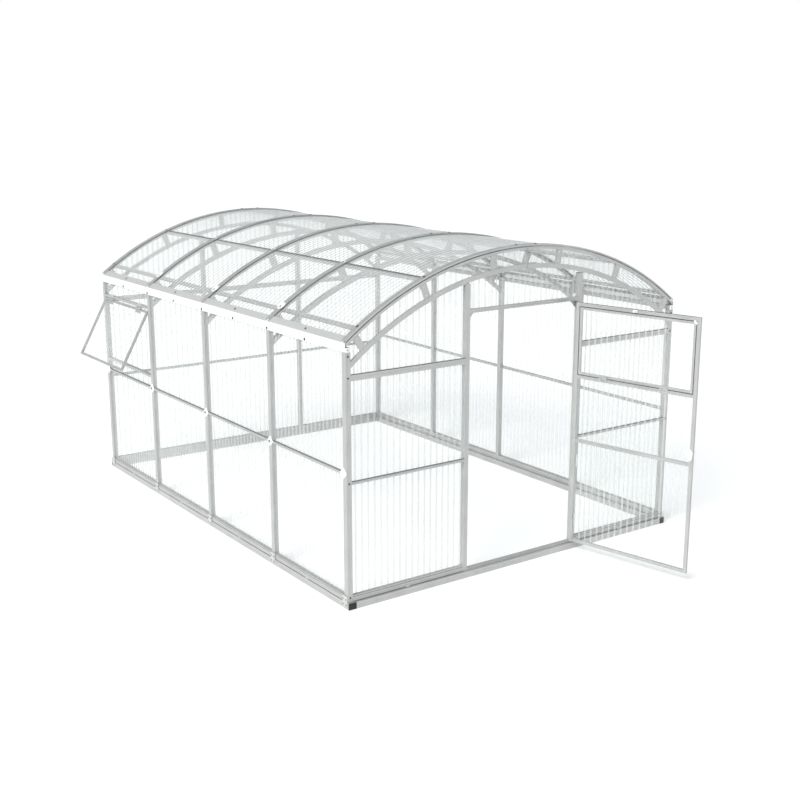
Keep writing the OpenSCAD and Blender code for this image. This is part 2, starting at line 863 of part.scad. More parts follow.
// Turning latch: inner lever, spindle through the stile and outer knob
module door_latch() {
    lever_t = 9;
    knob_h = 8;
    outer_h = 14;
    tip_r = 9;
    tip_z = latch_arm - tip_r;
    outer_y = door_y0 - SEAT;
    color(WHITE) swing_door() translate([latch_x, 0, latch_z]) union() {
        translate([0, latch_y, 0]) rotate([-90, 0, 0]) cylinder(r = latch_r, h = lever_t);
        translate([0, latch_y, -tip_z]) rotate([-90, 0, 0]) cylinder(r = tip_r, h = lever_t);
        translate([-tip_r, latch_y, -tip_z]) cube([2 * tip_r, lever_t, tip_z]);
        translate([0, latch_y, 0]) rotate([-90, 0, 0]) cylinder(r = tip_r, h = lever_t + knob_h);
        translate([0, outer_y, 0]) rotate([-90, 0, 0]) cylinder(r = spindle_r, h = latch_y - outer_y + 1);
        translate([0, outer_y, 0]) rotate([90, 0, 0]) cylinder(r = latch_r, h = outer_h);
    }
}

// ---- door window ----

module window_frame() {
    xi = window_x1 - window_member;
    color(ALU) swing_door() {
        both_sides() bar_z([xi, window_y0, window_z0], [window_x1, window_y1, window_z1]);
        for (z = [window_z0, window_z1 - window_member])
            bar_x([-xi + JOINT, window_y0, z], [xi - JOINT, window_y1, z + window_member]);
        for (x = WINDOW_HINGES_X) translate([x, window_hinge_y, window_hinge_z]) window_hinge_moving();
    }
}

// Knuckle round the window pin, with a leaf up the window's bottom rail
module window_hinge_moving() {
    knuckle_l = 40;
    leaf_h = 14;
    translate([-knuckle_l / 2, 0, 0]) difference() {
        union() {
            rotate([0, 90, 0]) cylinder(r = window_knuckle_r, h = knuckle_l);
            translate([0, -window_knuckle_r - 1, 0]) cube([knuckle_l, 3.5, leaf_h + window_gap / 2]);
        }
        translate([-1, 0, 0]) rotate([0, 90, 0]) cylinder(r = window_pin_r + pin_clear, h = knuckle_l + 2);
    }
}

module window_sheet() {
    xi = window_x1 - window_member - sheet_gap;
    y0 = window_y0 + (window_t - sheet_t) / 2;
    color(CLEAR) swing_door() block([-xi, y0, window_z0 + window_member + sheet_gap],
                                    [xi, y0 + sheet_t, window_z1 - window_member - sheet_gap]);
}

// Turn button on the door's top rail; it lies along the rail when the window is free
module window_button() {
    button_l = 36;
    button_w = 18;
    button_t = 7;
    color(WHITE) swing_door() translate([0, door_y1 + 0.5, door_z1 - door_member / 2]) union() {
        rotate([-90, 0, 0]) cylinder(r = button_w / 2, h = button_t);
        translate([button_l - button_w, 0, 0]) rotate([-90, 0, 0]) cylinder(r = button_w / 2, h = button_t);
        translate([0, 0, -button_w / 2]) cube([button_l - button_w, button_t, button_w]);
        rotate([-90, 0, 0]) cylinder(r = button_w / 4, h = button_t + 3);
    }
}

// ---- side vent ----

// Turns the shut vent to its rest angle
module swing_vent() {
    translate([vent_axis_x, 0, vent_axis_z]) rotate([0, vent_open, 0])
        translate([-vent_axis_x, 0, -vent_axis_z]) children();
}

module vent_frame() {
    x0 = -side_out;
    x1 = -side_out + vent_t;
    color(ALU) swing_vent() {
        for (y = [vent_y0, vent_y1 - vent_member])
            bar_z([x0, y, vent_z0], [x1, y + vent_member, vent_z1]);
        for (z = [vent_z0, vent_z1 - vent_member])
            bar_y([x0, vent_y0 + vent_member + JOINT, z],
                  [x1, vent_y1 - vent_member - JOINT, z + vent_member]);
        for (y = VENT_HINGES_Y) at_vent_hinge(y) hinge_moving();
    }
}

module vent_sheet() {
    x0 = -side_out + (vent_t - sheet_t) / 2;
    inset = vent_member + sheet_gap;
    color(CLEAR) swing_vent() block([x0, vent_y0 + inset, vent_z0 + inset],
                                    [x0 + sheet_t, vent_y1 - inset, vent_z1 - inset]);
}

// Moves the greenhouse from its centre to the origin at the doorway
module placed() {
    translate([0, gable_out, 0]) children();
}

placed() base_rail_left();
placed() base_rail_right();
placed() base_rail_front();
placed() base_rail_rear();
placed() base_end_caps();
placed() side_sills();
placed() gable_sills();
placed() threshold();
placed() corner_posts();
placed() side_posts_left();
placed() side_posts_right();
placed() door_post_left();
placed() door_post_right();
placed() rear_posts();
placed() eave_beams();
placed() eave_trim_left();
placed() eave_trim_right();
placed() arch_1_outer();
placed() arch_2_outer();
placed() arch_3_outer();
placed() arch_4_outer();
placed() arch_5_outer();
placed() arch_1_inner();
placed() arch_2_inner();
placed() arch_3_inner();
placed() arch_4_inner();
placed() arch_5_inner();
placed() arch_struts();
placed() ridge_splices();
placed() purlin_ridge();
placed() purlins_upper();
placed() purlins_lower();
placed() purlin_brackets();
placed() roof_caps();
placed() roof_sheet_1();
placed() roof_sheet_2();
placed() roof_sheet_3();
placed() roof_sheet_4();
placed() side_mid_rails();
placed() gable_rails();
placed() door_header();
placed() header_gussets();
placed() vent_surround();
placed() side_sheets();
placed() gable_sheets();
placed() rosettes();
placed() foot_brackets();
placed() sheet_clips();
placed() frame_screws();
placed() fixed_hinges();
placed() door_stiles();
placed() door_rails();
placed() door_sheets();
placed() door_fittings();
placed() door_latch();
placed() window_frame();
placed() window_sheet();
placed() window_button();
placed() vent_frame();
placed() vent_sheet();
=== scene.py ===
import bpy
import bmesh
import json
import math
from mathutils import Matrix, Vector


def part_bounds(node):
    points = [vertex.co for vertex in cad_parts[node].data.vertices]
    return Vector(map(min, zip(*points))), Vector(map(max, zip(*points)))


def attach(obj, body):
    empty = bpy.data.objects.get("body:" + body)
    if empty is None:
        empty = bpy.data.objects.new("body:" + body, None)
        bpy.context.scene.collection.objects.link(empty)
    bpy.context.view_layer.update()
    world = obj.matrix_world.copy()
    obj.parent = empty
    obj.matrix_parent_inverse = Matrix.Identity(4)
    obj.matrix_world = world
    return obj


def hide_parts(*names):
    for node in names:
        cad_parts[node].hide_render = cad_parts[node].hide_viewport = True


# A walk-in arched greenhouse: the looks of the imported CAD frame, and the pieces added to it.
# Lengths are metres in the frame's axes: X to the right seen from the front, Y to the rear, Z up.
# A body is "shut" at its joint's lower limit. The frame has the door and the vent open at rest.

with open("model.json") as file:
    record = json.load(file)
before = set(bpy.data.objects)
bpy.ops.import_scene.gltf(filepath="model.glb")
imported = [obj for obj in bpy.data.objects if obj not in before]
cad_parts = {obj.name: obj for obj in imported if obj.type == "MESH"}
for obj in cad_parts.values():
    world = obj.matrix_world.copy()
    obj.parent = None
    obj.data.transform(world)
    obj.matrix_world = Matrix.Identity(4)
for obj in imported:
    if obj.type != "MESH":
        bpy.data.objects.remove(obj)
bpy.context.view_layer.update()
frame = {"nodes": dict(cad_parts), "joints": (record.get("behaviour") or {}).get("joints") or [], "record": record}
NODES = frame["nodes"]
JOINTS = {j["name"]: j for j in frame["joints"]}
SLOT_OF = {s["node"]: s["material_slot"] for s in frame["record"]["subparts"]}
BODY_OF = {n: b for b, ns in frame["record"]["behaviour"]["bodies"].items() for n in ns}

# ---------------------------------------------------------------- camera

LENS = 53.0  # millimetres, on a sensor 36 mm wide
CAMERA_AT = (-5.306, -6.006, 3.116)
CAMERA_LOOK = (0.5615, 0.7936, -0.2343)


def into_scene(name, data):
    """A new object for a mesh, a light or a camera, linked to the scene."""
    ob = bpy.data.objects.new(name, data)
    bpy.context.scene.collection.objects.link(ob)
    return ob


def aim(ob, direction):
    """Turns a camera or a light to look along a direction."""
    ob.rotation_mode = "QUATERNION"
    ob.rotation_quaternion = Vector(direction).to_track_quat("-Z", "Y")


cam_data = bpy.data.cameras.new("cam")
cam_data.lens = LENS
cam_data.sensor_width = 36.0
cam_data.clip_end = 200
cam = into_scene("cam", cam_data)
cam.location = CAMERA_AT
aim(cam, CAMERA_LOOK)
bpy.context.scene.camera = cam

# ---------------------------------------------------------------- materials

GRAZING_POWER = 5.0  # how sharply a clear skin's own look grows towards its edge-on view


class Shade:
    """A node material with a Principled shader, and short calls that add the nodes before it."""

    def __init__(self, name, **sockets):
        self.mat = bpy.data.materials.new(name)
        self.mat.use_nodes = True
        self.tree = self.mat.node_tree
        self.tree.nodes.clear()
        self.out = self.add("ShaderNodeOutputMaterial")
        self.bsdf = self.add("ShaderNodeBsdfPrincipled")
        self.link(self.bsdf.outputs[0], self.out.inputs["Surface"])
        self.set(**sockets)
        self.coord = self.add("ShaderNodeTexCoord").outputs["Object"]

    def add(self, kind, **props):
        node = self.tree.nodes.new(kind)
        for key, value in props.items():
            setattr(node, key, value)
        return node

    def link(self, a, b):
        self.tree.links.new(a, b)

    def set(self, **sockets):
        for key, value in sockets.items():
            self.bsdf.inputs[key.replace("_", " ")].default_value = value

    def noise(self, scale, stretch=(1, 1, 1), detail=3.0, rough=0.5):
        """Noise in the object's own space, drawn out along an axis by stretch."""
        m = self.add("ShaderNodeMapping")
        m.inputs["Scale"].default_value = stretch
        self.link(self.coord, m.inputs["Vector"])
        n = self.add("ShaderNodeTexNoise")
        n.inputs["Scale"].default_value = scale
        n.inputs["Detail"].default_value = detail
        n.inputs["Roughness"].default_value = rough
        self.link(m.outputs[0], n.inputs["Vector"])
        return n.outputs["Fac"]

    def math(self, op, a, b=0.0):
        n = self.add("ShaderNodeMath", operation=op)
        for k, v in enumerate((a, b)):
            if isinstance(v, (int, float)):
                n.inputs[k].default_value = v
            else:
                self.link(v, n.inputs[k])
        return n.outputs[0]

    def ramp(self, fac, lo, hi, at=(0.3, 0.7)):
        """A colour ramp between two colours, or two greys."""
        n = self.add("ShaderNodeValToRGB")
        ends = [c if isinstance(c, tuple) else (c, c, c) for c in (lo, hi)]
        for e, c, p in zip(n.color_ramp.elements, ends, at):
            e.color = (*c, 1)
            e.position = p
        self.link(fac, n.inputs[0])
        return n.outputs[0]

    def colour(self, fac, lo, hi, at=(0.3, 0.7)):
        self.link(self.ramp(fac, lo, hi, at), self.bsdf.inputs["Base Color"])

    def roughness(self, fac, lo, hi, at=(0.3, 0.7)):
        self.link(self.ramp(fac, lo, hi, at), self.bsdf.inputs["Roughness"])

    def bump(self, height, strength, distance):
        n = self.add("ShaderNodeBump")
        n.inputs["Strength"].default_value = strength
        n.inputs["Distance"].default_value = distance
        self.link(height, n.inputs["Height"])
        self.link(n.outputs[0], self.bsdf.inputs["Normal"])


def shaded(tone, share):
    """A tone made darker by a share under 1, or lighter by one over 1."""
    return tuple(min(1, c * share) for c in tone)


def aluminium(name, axis, tone=(0.49, 0.495, 0.486), rough=0.36):
    """Satin extruded aluminium with die lines along one axis."""
    along = tuple(1.0 if k != axis else 0.02 for k in range(3))
    s = Shade(name, Metallic=0.55)
    lines = s.noise(420, along, detail=4, rough=0.6)
    cloud = s.noise(5, detail=4, rough=0.6)
    mix = s.math("ADD", s.math("MULTIPLY", lines, 0.55), s.math("MULTIPLY", cloud, 0.45))
    s.colour(mix, shaded(tone, 0.88), shaded(tone, 1.1), at=(0.36, 0.64))
    s.roughness(mix, rough - 0.06, rough + 0.1, at=(0.35, 0.65))
    s.bump(lines, strength=0.18, distance=0.0004)
    return s.mat


def plastic(name, tone, rough=0.42):
    """Moulded plastic with a fine eroded grain and slight flow marks."""
    s = Shade(name, IOR=1.46)
    flow = s.noise(14, detail=3, rough=0.55)
    fine = s.noise(900, detail=2, rough=0.5)
    s.colour(flow, shaded(tone, 0.93), tone, at=(0.35, 0.62))
    s.roughness(fine, rough - 0.07, rough + 0.08)
    s.bump(fine, strength=0.12, distance=0.0003)
    return s.mat


def coated(name, tone, rough=0.3):
    """Powder coat: an even colour with a fine orange peel."""
    s = Shade(name, IOR=1.5)
    peel = s.noise(260, detail=2, rough=0.4)
    cloud = s.noise(3, detail=3, rough=0.5)
    s.colour(cloud, shaded(tone, 0.96), tone, at=(0.3, 0.65))
    s.roughness(peel, rough - 0.05, rough + 0.07)
    s.bump(peel, strength=0.1, distance=0.0004)
    return s.mat


def rubber(name, tone):
    """Matt rubber with a fine mottle."""
    s = Shade(name, IOR=1.4)
    fine = s.noise(700, detail=3, rough=0.6)
    s.colour(fine, shaded(tone, 0.75), shaded(tone, 1.25))
    s.roughness(fine, 0.55, 0.75)
    s.bump(fine, strength=0.2, distance=0.0004)
    return s.mat


def see_through(shade, tint, least, most, cloud, grazing=0.0):
    """Mixes the shader with a faintly tinted clear one, by a share between least and most.

    grazing is the share added where the surface is seen edge on. Shadow rays only take the tint.
    """
    share = shade.ramp(cloud, least, most)
    if grazing:
        facing = shade.add("ShaderNodeLayerWeight").outputs["Facing"]
        edge_on = shade.math("POWER", facing, GRAZING_POWER)
        share = shade.math("ADD", share, shade.math("MULTIPLY", edge_on, grazing))
    shadow = shade.add("ShaderNodeLightPath").outputs["Is Shadow Ray"]
    share = shade.math("MULTIPLY", share, shade.math("SUBTRACT", 1.0, shadow))
    clear = shade.add("ShaderNodeBsdfTransparent")
    clear.inputs["Color"].default_value = (*tint, 1)
    mix = shade.add("ShaderNodeMixShader")
    shade.link(share, mix.inputs[0])
    shade.link(clear.outputs[0], mix.inputs[1])
    shade.link(shade.bsdf.outputs[0], mix.inputs[2])
    shade.link(mix.outputs[0], shade.out.inputs["Surface"])


def sheet_skin(name):
    """Clear polycarbonate with faint haze and dust."""
    s = Shade(name, IOR=1.52)
    cloud = s.noise(3.5, detail=5, rough=0.6)
    s.colour(cloud, (0.88, 0.91, 0.90), (0.93, 0.95, 0.94))
    s.roughness(cloud, 0.08, 0.16)
    see_through(s, (0.996, 0.998, 0.998), least=0.010, most=0.020, cloud=cloud, grazing=0.7)
    return s.mat


def sheet_rib(name, tint):
    """The webs between the two skins, milky where they stand on edge."""
    s = Shade(name, IOR=1.5)
    cloud = s.noise(9, detail=3, rough=0.5)
    s.colour(cloud, (0.88, 0.90, 0.89), (0.93, 0.94, 0.93))
    s.roughness(cloud, 0.3, 0.4)
    see_through(s, tint, least=0.14, most=0.17, cloud=cloud)
    return s.mat


ALU = [aluminium("alu_x", 0), aluminium("alu_y", 1), aluminium("alu_z", 2)]
TRIM = coated("white_coat", (0.80, 0.807, 0.80))
DOOR_METAL = coated("door_fitting_coat", (0.56, 0.57, 0.56))
# Painted shade: a grey copy of the white trim coat, for the upward sloping flap of the eave trims
SHADED_FLAP_COAT = coated("flap_painted_shade_coat", (0.435, 0.445, 0.438))
LIP = rubber("roof_gasket_rubber", (0.13, 0.13, 0.128))
WHITE = plastic("white_moulding", (0.84, 0.85, 0.84))
GREY = plastic("grey_moulding", (0.50, 0.505, 0.495))
BLACK = plastic("black_moulding", (0.012, 0.012, 0.013), rough=0.38)
SCREW = coated("screw_coat", (0.035, 0.034, 0.033), rough=0.34)
RUBBER = rubber("gasket_rubber", (0.05, 0.05, 0.052))
SKIN = sheet_skin("sheet_skin")
RIB = sheet_rib("sheet_rib", (0.938, 0.944, 0.941))
ROOF_RIB = sheet_rib("roof_sheet_rib", (0.88, 0.885, 0.883))

# ---------------------------------------------------------------- mesh helpers


def piece(name, bm, mats, body, smooth=30):
    """Turns a bmesh into a piece that rides on a body; edges over `smooth` degrees stay sharp."""
    me = bpy.data.meshes.new(name)
    bm.normal_update()
    bm.to_mesh(me)
    bm.free()
    for m in mats:
        me.materials.append(m)
    ob = into_scene(name, me)
    if smooth:
        me.shade_smooth()
        me.set_sharp_from_angle(angle=math.radians(smooth))
    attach(ob, body)
    return ob


def prism(bm, ring, axis, a, b, mat=0):
    """A closed prism along an axis; ring holds points in the plane across it, in x, y, z order."""
    def at(p, t):
        q = list(p)
        q.insert(axis, t)
        return bm.verts.new(q)
    lo = [at(p, a) for p in ring]
    hi = [at(p, b) for p in ring]
    n = len(ring)
    faces = [bm.faces.new([lo[k], lo[(k + 1) % n], hi[(k + 1) % n], hi[k]]) for k in range(n)]
    faces += [bm.faces.new(lo[::-1]), bm.faces.new(hi)]
    for f in faces:
        f.material_index = mat


def slab(bm, lo, hi, mat=0):
    ring = [(lo[0], lo[1]), (hi[0], lo[1]), (hi[0], hi[1]), (lo[0], hi[1])]
    prism(bm, ring, 2, lo[2], hi[2], mat)


def loose_parts(node, turn=None):
    """The separate solids of a CAD node, each as a list of triangles' corner points."""
    bm = bmesh.new()
    bm.from_mesh(NODES[node].data)
    if turn is not None:
        bm.transform(turn)
    bmesh.ops.remove_doubles(bm, verts=bm.verts, dist=1e-6)
    bm.faces.ensure_lookup_table()
    seen, parts = set(), []
    for f in bm.faces:
        if f.index in seen:
            continue
        stack, part = [f], []
        seen.add(f.index)
        while stack:
            g = stack.pop()
            part.append([v.co.copy() for v in g.verts])
            for e in g.edges:
                for h in e.link_faces:
                    if h.index not in seen:
                        seen.add(h.index)
                        stack.append(h)
        parts.append(part)
    bm.free()
    return parts


def part_box(part):
    pts = [p for tri in part for p in tri]
    return (Vector([min(p[k] for p in pts) for k in range(3)]),
            Vector([max(p[k] for p in pts) for k in range(3)]))


# ---------------------------------------------------------------- ribbed sheets

SHEET_T = 0.006
SKIN_T = 0.0004
RIB_PITCH = 0.05
RIB_W = 0.012
RIB_SHORT = 0.002  # how far a web stops before the ends of its flat sheet
ROOF_RIB_SHORT = 0.001  # the same on the roof, in radians
ROOF_STEPS = 72


def shut(joint):
    """The turn that takes a body from rest to its joint's lower limit, where it is shut."""
    j = JOINTS[joint]
    to = Matrix.Translation(Vector(j["pos_m"]))
    turn = Matrix.Rotation(math.radians(j["range_deg"][0]), 4, Vector(j["axis"]))
    return to @ turn @ to.inverted()


def spread(lo, hi, pitch):
    """Places between lo and hi, evenly spaced and centred, one pitch apart."""
    n = max(1, int((hi - lo) / pitch))
    first = (lo + hi) / 2 - (n - 1) * pitch / 2
    return [first + k * pitch for k in range(n)]


def spans(part, axis, at):
    """The lowest and highest points of a solid in the plane axis = at."""
    cuts = set()
    for tri in part:
        for k in range(3):
            p, q = tri[k], tri[(k + 1) % 3]
            if (p[axis] - at) * (q[axis] - at) < 0:
                t = (at - p[axis]) / (q[axis] - p[axis])
                cuts.add(round(p.z + (q.z - p.z) * t, 4))
    return min(cuts), max(cuts)


def flat_sheets(name, node, run, turn=None):
    """Twin-wall sheets with upright webs, set out along axis `run`.

    turn takes the node to where it stands upright, and the piece is turned back from there.
    """
    thin = 1 - run
    bm = bmesh.new()
    for part in loose_parts(node, turn):
        lo, hi = part_box(part)
        seen = {}
        for tri in part:
            vs = []
            for p in tri:
                key = tuple(round(c, 6) for c in p)
                if key not in seen:
                    seen[key] = bm.verts.new(p)
                vs.append(seen[key])
            bm.faces.new(vs)
        for c in spread(lo[run] + RIB_W, hi[run] - RIB_W, RIB_PITCH):
            z0, z1 = spans(part, run, c - RIB_W / 2)
            z2, z3 = spans(part, run, c + RIB_W / 2)
            a, b = [0, 0, max(z0, z2) + RIB_SHORT], [0, 0, min(z1, z3) - RIB_SHORT]
            a[run], b[run] = c - RIB_W / 2, c + RIB_W / 2
            a[thin], b[thin] = lo[thin] + SKIN_T, hi[thin] - SKIN_T
            slab(bm, a, b, 1)
    if turn is not None:
        bm.transform(turn.inverted())
    ob = piece(name, bm, [SKIN, RIB], BODY_OF[node])
    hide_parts(node)


def roof_circle(node):
    """Centre height, outer radius and half angle of a roof node's arc."""
    pts = [v.co for v in NODES[node].data.vertices]
    top = max(p.z for p in pts)
    side = max(p.x for p in pts)
    low = max(p.z for p in pts if p.x > side - 1e-5)
    zc = (top * top - low * low - side * side) / (2 * (top - low))
    return zc, top - zc, math.asin(side / (top - zc))


def arc_strip(bm, zc, radii, angles, ys, n, mat=0):
    """A strip round the roof, between two radii, two angles and two places along the row."""
    (r0, r1), (a0, a1), (y0, y1) = radii, angles, ys
    rings = []
    for k in range(n + 1):
        a = a0 + (a1 - a0) * k / n
        rings.append([bm.verts.new((r * math.sin(a), y, zc + r * math.cos(a)))
                      for r, y in ((r0, y0), (r1, y0), (r1, y1), (r0, y1))])
    faces = [bm.faces.new(rings[0]), bm.faces.new(rings[-1][::-1])]
    for p, q in zip(rings, rings[1:]):
        for k in range(4):
            faces.append(bm.faces.new([p[k], q[k], q[(k + 1) % 4], p[(k + 1) % 4]]))
    for f in faces:
        f.material_index = mat


def roof_sheet(name, node):
    """A bent twin-wall sheet, its webs running over the roof."""
    lo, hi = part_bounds(node)
    zc, r1, half = roof_circle(node)
    r0 = r1 - SHEET_T
    bm = bmesh.new()
    arc_strip(bm, zc, (r0, r1), (-half, half), (lo.y, hi.y), ROOF_STEPS)
    web = half - ROOF_RIB_SHORT
    for y in spread(lo.y + RIB_W, hi.y - RIB_W, RIB_PITCH):
        arc_strip(bm, zc, (r0 + SKIN_T, r1 - SKIN_T), (-web, web),
                  (y - RIB_W / 2, y + RIB_W / 2), ROOF_STEPS, 1)
    ob = piece(name, bm, [SKIN, ROOF_RIB], BODY_OF[node])
    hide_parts(node)


DOOR_SHUT = shut("door_swing")
VENT_SHUT = shut("vent_swing")
flat_sheets("side_wall_sheets", "side_sheets", 1)
flat_sheets("gable_wall_sheets", "gable_sheets", 0)
flat_sheets("door_leaf_sheets", "door_sheets", 0, DOOR_SHUT)
flat_sheets("door_window_pane", "window_sheet", 0, DOOR_SHUT)
flat_sheets("side_vent_pane", "vent_sheet", 1, VENT_SHUT)
for k in range(1, 5):
    roof_sheet(f"roof_bay_sheet_{k}", f"roof_sheet_{k}")

# ---------------------------------------------------------------- plates, turned parts, screws

PLATE_ROUND = (0.5, 1.05, 1.57)  # the steps round a plate's top edge, in radians
LOBE_POWER = 1.6  # over 1 narrows the hollows between the lobes


def frame_at(origin, normal, up=(0, 0, 1)):
    """Local axes on a surface: Z along its normal, Y as near to `up` as that allows."""
    z = Vector(normal).normalized()
    x = Vector(up).cross(z).normalized()
    m = Matrix((x, z.cross(x), z)).transposed().to_4x4()
    m.translation = Vector(origin)
    return m


def round_rect(w, h, r, n=5):
    pts = []
    for cx, cy, a in ((w / 2 - r, h / 2 - r, 0), (r - w / 2, h / 2 - r, 90),
                      (r - w / 2, r - h / 2, 180), (w / 2 - r, r - h / 2, 270)):
        for k in range(n + 1):
            t = math.radians(a + 90 * k / n)
            pts.append((cx + r * math.cos(t), cy + r * math.sin(t)))
    return pts


def lobed(r, depth, n=64):
    """A disc with four lobes, on the upright and level lines, and hollows of a share `depth`."""
    pts = []
    for k in range(n):
        t = 2 * math.pi * k / n
        q = r * (1 - depth * abs(math.sin(2 * t)) ** LOBE_POWER)
        pts.append((q * math.cos(t), q * math.sin(t)))
    return pts


def pear(r0, r1, d, n=12):
    """The hull of a disc r0 at the origin and a disc r1 at a distance d below it."""
    lean = math.asin((r0 - r1) / d)
    pts = []
    for k in range(n + 1):
        t = -lean + (math.pi + 2 * lean) * k / n
        pts.append((r0 * math.cos(t), r0 * math.sin(t)))
    for k in range(n + 1):
        t = math.pi + lean + (math.pi - 2 * lean) * k / n
        pts.append((r1 * math.cos(t), r1 * math.sin(t) - d))
    return pts


def plate(bm, outline, to, t, edge, mat=0, crown=0.0):
    """A plate with rounded top edges, t high on the local plane; crown lifts its middle."""
    n = len(outline)
    steps = [(0, 0), (0, t - edge)]
    steps += [(edge * (1 - math.cos(a)), t - edge + edge * math.sin(a)) for a in PLATE_ROUND]
    rings = []
    for d, h in steps:
        ring = []
        for k in range(n):
            p, q, s = (Vector(outline[(k + i) % n]) for i in (-1, 0, 1))
            m = (q - p).normalized() + (s - q).normalized()
            inward = Vector((-m.y, m.x)).normalized()
            ring.append(bm.verts.new(to @ Vector((*(q + inward * d), h))))
        rings.append(ring)
    faces = [bm.faces.new(rings[0][::-1])]
    for a, b in zip(rings, rings[1:]):
        faces += [bm.faces.new([a[k], a[(k + 1) % n], b[(k + 1) % n], b[k]]) for k in range(n)]
    mid = sum((Vector((*p, 0)) for p in outline), Vector()) / n
    peak = bm.verts.new(to @ Vector((mid.x, mid.y, t + crown)))
    faces += [bm.faces.new([rings[-1][k], rings[-1][(k + 1) % n], peak]) for k in range(n)]
    for f in faces:
        f.material_index = mat


def turned(bm, profile, to, n=24, mat=0):
    """A turned solid about local Z; its (radius, height) points start and end on the axis."""
    rings = []
    for r, h in profile:
        if r == 0:
            rings.append([bm.verts.new(to @ Vector((0, 0, h)))])
        else:
            turns = [2 * math.pi * k / n for k in range(n)]
            rings.append([bm.verts.new(to @ Vector((r * math.cos(t), r * math.sin(t), h)))
                          for t in turns])
    for a, b in zip(rings, rings[1:]):
        for k in range(n):
            q = [a[k % len(a)], a[(k + 1) % n % len(a)], b[(k + 1) % n % len(b)], b[k % len(b)]]
            q = list(dict.fromkeys(q))
            if len(q) > 2:
                bm.faces.new(q).material_index = mat


def screw(bm, at, out, r, h, mat=0, up=(0, 0, 1)):
    """A pan head with a round socket, r in radius and h high."""
    profile = [(0, 0), (1, 0), (1, 0.4), (0.93, 0.72), (0.75, 0.93), (0.5, 1), (0.46, 0.35),
               (0, 0.3)]
    turned(bm, [(r * x, h * z) for x, z in profile], frame_at(at, out, up), 18, mat)


# ---------------------------------------------------------------- places on the greenhouse

ROW_LO, ROW_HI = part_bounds("base_end_caps")
MIDDLE = (ROW_LO + ROW_HI) / 2 + Vector((0, 0, 0.9))  # a point inside, as high as the mid rails
ROOF_ZC, ROOF_R, ROOF_HALF = roof_circle("roof_caps")
_, SHEET_R, _ = roof_circle("roof_sheet_1")
EAVE_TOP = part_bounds("eave_trim_left")[1].z
FLAP_FOOT = EAVE_TOP - 0.0333  # the eave trim's sloping flap begins here
ON_SHEET = 0.0002  # seals lie this far above the roof sheets


def outward(c, axis):
    """The unit vector along an axis that points from c away from the middle."""
    return Vector([math.copysign(1, (c - MIDDLE)[k]) if k == axis else 0 for k in range(3)])


def radial(a):
    """The direction straight out of the roof at an angle from its ridge."""
    return Vector((math.sin(a), 0, math.cos(a)))


def on_roof(a, r, y):
    return Vector((r * math.sin(a), y, ROOF_ZC + r * math.cos(a)))


def roof_angle(p):
    return math.atan2(p.x, p.z - ROOF_ZC)


def roof_angles(node):
    """The angles from the ridge at which a node's solids lie."""
    return sorted({round(roof_angle(sum(part_box(p), Vector()) / 2), 2)
                   for p in loose_parts(node)})


LOWER = roof_angles("purlins_lower")
UPPER = roof_angles("purlins_upper")
CAPS = sorted((part_box(p) for p in loose_parts("roof_caps")), key=lambda box: box[0].y)

# ---------------------------------------------------------------- frame fittings

# Screws with rubber washers, smaller on the front and rear walls
GABLE_SHARE = 0.65
HEAD_R, HEAD_H = 0.0078, 0.0038
WASHER_R, WASHER_T = 0.0098, 0.0011
bm = bmesh.new()
for part in loose_parts("frame_screws"):
    lo, hi = part_box(part)
    c, d = (lo + hi) / 2, list(hi - lo)
    if c.z > EAVE_TOP - 0.05 and abs(c.x) < ROW_HI.x - 0.03:
        out = radial(roof_angle(c))
    else:
        out = outward(c, d.index(min(d)))
    up = (0, 1, 0) if out.z > 0.5 else (0, 0, 1)
    base = c - out * 0.0015
    big = GABLE_SHARE if abs(out.y) > 0.5 else 1
    rim, top = WASHER_R * big, (WASHER_R - 0.001) * big
    washer = [(0, 0), (rim, 0), (rim, 0.0005), (top, WASHER_T), (0, WASHER_T)]
    turned(bm, washer, frame_at(base, out, up), 20, 1)
    screw(bm, base + out * 0.0008, out, HEAD_R * big, HEAD_H, 0, up)
ob = piece("frame_screw_heads", bm, [SCREW, RUBBER], "frame", 40)
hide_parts("frame_screws")


ROSETTE_R = 0.036
SPOKE_AT = 0.0225  # from the hub's middle to the middle of a spoke


def rosette(bm, base, out):
    """A lobed plate with four spokes and a raised hub."""
    to = frame_at(base, out)
    plate(bm, lobed(ROSETTE_R, 0.24), to, 0.0045, 0.003, 0, 0.001)
    turned(bm, [(0, 0.003), (0.0135, 0.003), (0.0135, 0.0052), (0.012, 0.0068), (0.009, 0.008),
                (0, 0.008)], to)
    for k in range(4):
        turn = Matrix.Rotation(math.pi * k / 2, 4, "Z")
        spoke = turn @ Matrix.Translation((0, SPOKE_AT, 0.0042))
        plate(bm, round_rect(0.004, 0.016, 0.0018, 3), to @ spoke, 0.0014, 0.001)


# Rosettes where the rails cross the side posts, and the same on the corner posts
CORNER_IN = 0.054  # from the end of the row to a corner rosette
bm, corners = bmesh.new(), bmesh.new()
for part in loose_parts("rosettes"):
    lo, hi = part_box(part)
    side = math.copysign(1, lo.x)
    face = lo.x if side > 0 else hi.x
    rail_z = (lo.z + hi.z) / 2
    rosette(bm, Vector((face, (lo.y + hi.y) / 2, rail_z)), (side, 0, 0))
for side in (-1, 1):
    for y in (ROW_LO.y + CORNER_IN, ROW_HI.y - CORNER_IN):
        rosette(corners, Vector((side * abs(face), y, rail_z)), (side, 0, 0))
ob = piece("side_rosettes", bm, [WHITE], "frame", 35)
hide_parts("rosettes")
piece("corner_rosettes", corners, [WHITE], "frame", 35)

